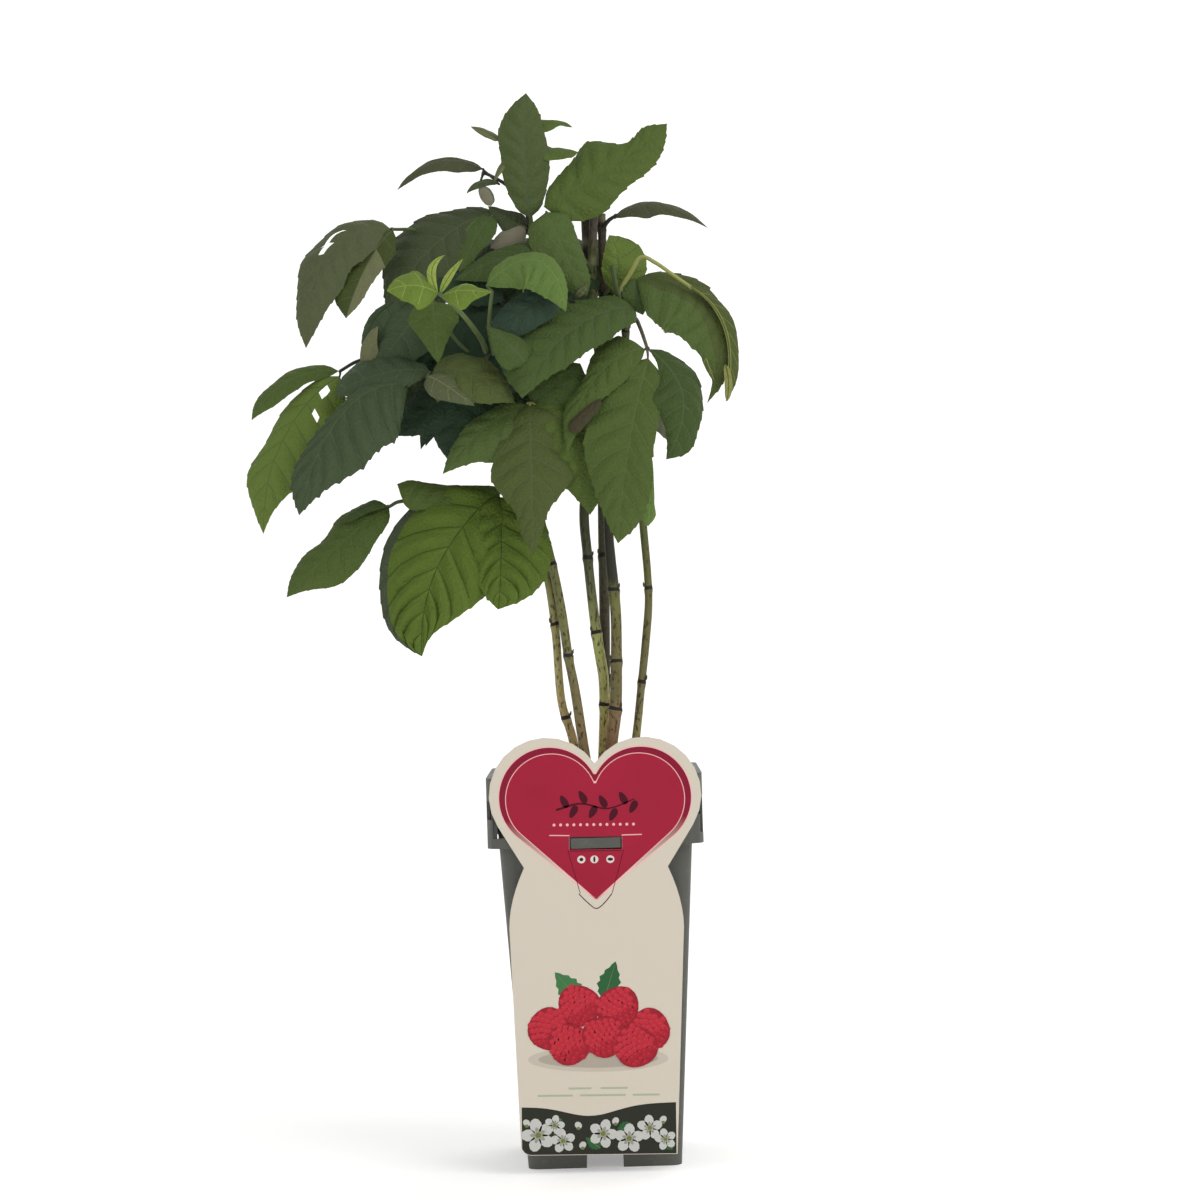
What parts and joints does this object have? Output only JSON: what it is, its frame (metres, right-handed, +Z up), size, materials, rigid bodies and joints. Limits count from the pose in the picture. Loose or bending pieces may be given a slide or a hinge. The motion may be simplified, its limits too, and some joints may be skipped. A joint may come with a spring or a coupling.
{
  "type": "potted raspberry plant",
  "caption": "Young raspberry plant in a tall square nursery pot, with slim upright canes, drooping compound leaves, compost and a hanging heart-topped picture card.",
  "frame": {"origin": "on the ground, under the middle of the whole plant's box", "axes": "+Z up, +X to the right and -Y to the front, the side of the card"},
  "size_m": [0.2412, 0.1764, 0.53],
  "materials": {
    "pot_plastic": "satin moulded",
    "compost": "crumbly, moist",
    "card": "printed, satin",
    "cane": "smooth green bark with a dull bloom",
    "foliage": "matte leaf",
    "young_foliage": "soft leaf"
  },
  "bodies": {
    "root": {"cane_1": "cane", "cane_2": "cane", "cane_3": "cane", "cane_4": "cane", "cane_5": "cane", "cane_6": "cane", "compost": "compost", "foliage_heart_left": "foliage", "foliage_heart_low": "foliage", "foliage_heart_middle": "foliage", "leaf_back_1": "foliage", "leaf_back_2": "foliage", "leaf_back_3": "foliage", "leaf_back_4": "foliage", "leaf_back_5": "foliage", "leaf_back_6": "foliage", "leaf_back_7": "foliage", "leaf_centre_light": "foliage", "leaf_centre_right": "foliage", "leaf_centre_upper": "foliage", "leaf_far_left": "foliage", "leaf_left_inner": "foliage", "leaf_left_large": "foliage", "leaf_left_middle": "foliage", "leaf_left_shade": "foliage", "leaf_left_upper": "foliage", "leaf_low_centre": "foliage", "leaf_low_left": "foliage", "leaf_lowest_left": "foliage", "leaf_right_drooping": "foliage", "leaf_right_inner": "foliage", "leaf_right_low": "foliage", "leaf_right_thin": "foliage", "leaf_top": "foliage", "leaf_top_left": "foliage", "leaf_top_right": "foliage", "leaf_upper_left": "foliage", "leaf_young": "young_foliage", "picture_card": "card", "pot": "pot_plastic"}
  },
  "joints": []
}
